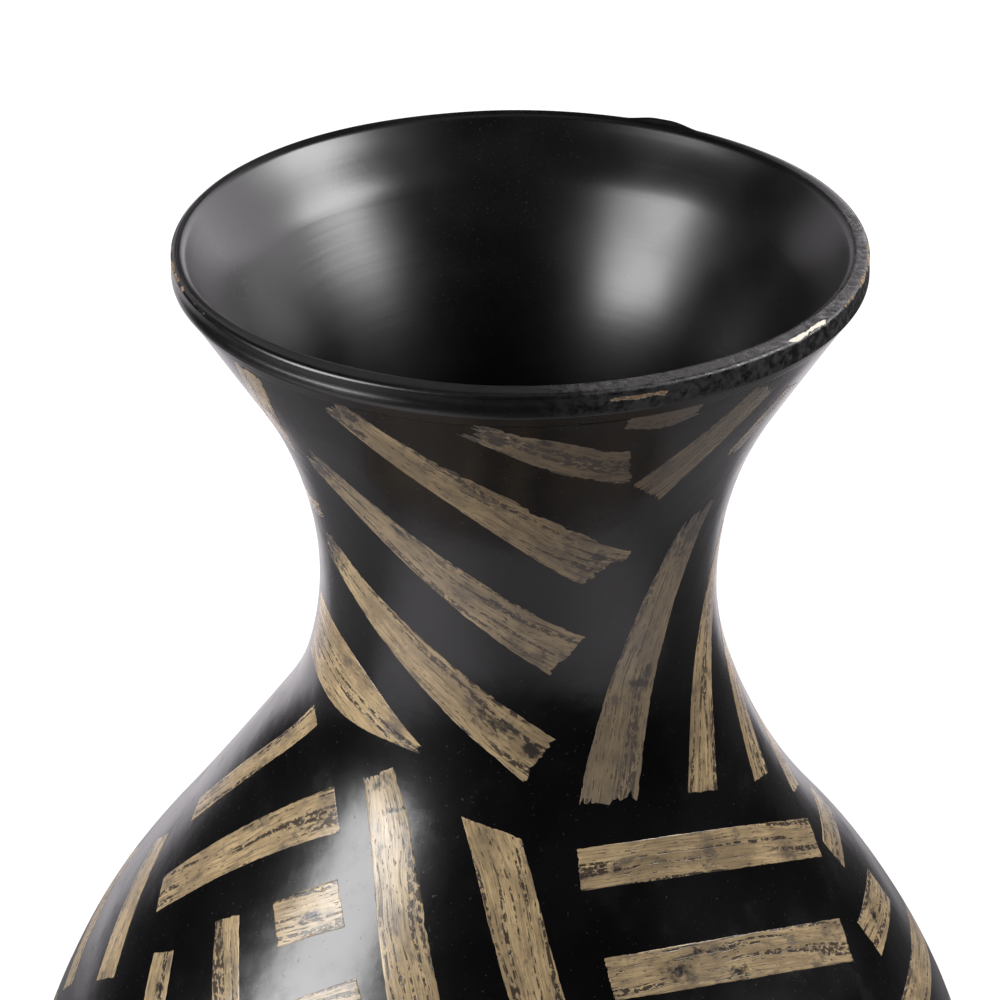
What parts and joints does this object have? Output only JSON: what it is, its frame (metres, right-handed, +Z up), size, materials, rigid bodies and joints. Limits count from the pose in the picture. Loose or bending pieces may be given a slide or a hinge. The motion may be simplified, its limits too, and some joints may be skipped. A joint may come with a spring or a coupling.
{
  "type": "lacquered clay vase with bark veneer inlay",
  "caption": "Wide-bellied clay vase with a narrow waist and flared mouth, black lacquered and inlaid flush with pale bark veneer strips in a basketwork pattern.",
  "frame": {"origin": "middle of the foot's resting plane", "axes": "+Z up along the vase's axis, -Y towards the front"},
  "size_m": [0.3342, 0.3342, 0.603],
  "materials": {
    "clay": "matte, bare fired clay at the foot and where the lip is worn",
    "outer_lacquer": "high gloss black lacquer, slightly wavy",
    "inner_lacquer": "satin black lacquer",
    "bark_veneer": "tan veneer with dark lengthwise grain under clear gloss"
  },
  "bodies": {
    "root": {"back_mouth_level_strips_1": "bark_veneer", "back_mouth_level_strips_2": "bark_veneer", "back_mouth_level_strips_3": "bark_veneer", "back_neck_level_strips_1": "bark_veneer", "back_neck_level_strips_2": "bark_veneer", "back_neck_level_strips_3": "bark_veneer", "back_neck_upright_strips": "bark_veneer", "back_shoulder_level_strips_1": "bark_veneer", "back_shoulder_level_strips_2": "bark_veneer", "back_shoulder_level_strips_3": "bark_veneer", "back_shoulder_upright_strips": "bark_veneer", "clay_body": "clay", "foot_level_strips_1": "bark_veneer", "foot_level_strips_2": "bark_veneer", "foot_level_strips_3": "bark_veneer", "foot_upright_strips": "bark_veneer", "inner_lacquer": "inner_lacquer", "lower_belly_level_strips_1": "bark_veneer", "lower_belly_level_strips_2": "bark_veneer", "lower_belly_level_strips_3": "bark_veneer", "lower_belly_upright_strips": "bark_veneer", "neck_left_strip_1": "bark_veneer", "neck_left_strip_2": "bark_veneer", "neck_left_strip_3": "bark_veneer", "neck_left_strip_4": "bark_veneer", "neck_left_strip_5": "bark_veneer", "neck_left_strip_6": "bark_veneer", "neck_right_strip_1": "bark_veneer", "neck_right_strip_2": "bark_veneer", "neck_right_strip_3": "bark_veneer", "neck_right_strip_4": "bark_veneer", "neck_right_strip_5": "bark_veneer", "neck_right_strip_6": "bark_veneer", "neck_right_strip_7": "bark_veneer", "neck_right_strip_8": "bark_veneer", "outer_lacquer": "outer_lacquer", "shoulder_left_strip_1": "bark_veneer", "shoulder_left_strip_10": "bark_veneer", "shoulder_left_strip_11": "bark_veneer", "shoulder_left_strip_2": "bark_veneer", "shoulder_left_strip_3": "bark_veneer", "shoulder_left_strip_4": "bark_veneer", "shoulder_left_strip_5": "bark_veneer", "shoulder_left_strip_6": "bark_veneer", "shoulder_left_strip_7": "bark_veneer", "shoulder_left_strip_8": "bark_veneer", "shoulder_left_strip_9": "bark_veneer", "shoulder_right_strip_1": "bark_veneer", "shoulder_right_strip_2": "bark_veneer", "shoulder_right_strip_3": "bark_veneer", "shoulder_right_strip_4": "bark_veneer", "shoulder_right_strip_5": "bark_veneer", "shoulder_right_strip_6": "bark_veneer", "upper_belly_level_strips_1": "bark_veneer", "upper_belly_level_strips_2": "bark_veneer", "upper_belly_level_strips_3": "bark_veneer", "upper_belly_upright_strips": "bark_veneer"}
  },
  "joints": []
}
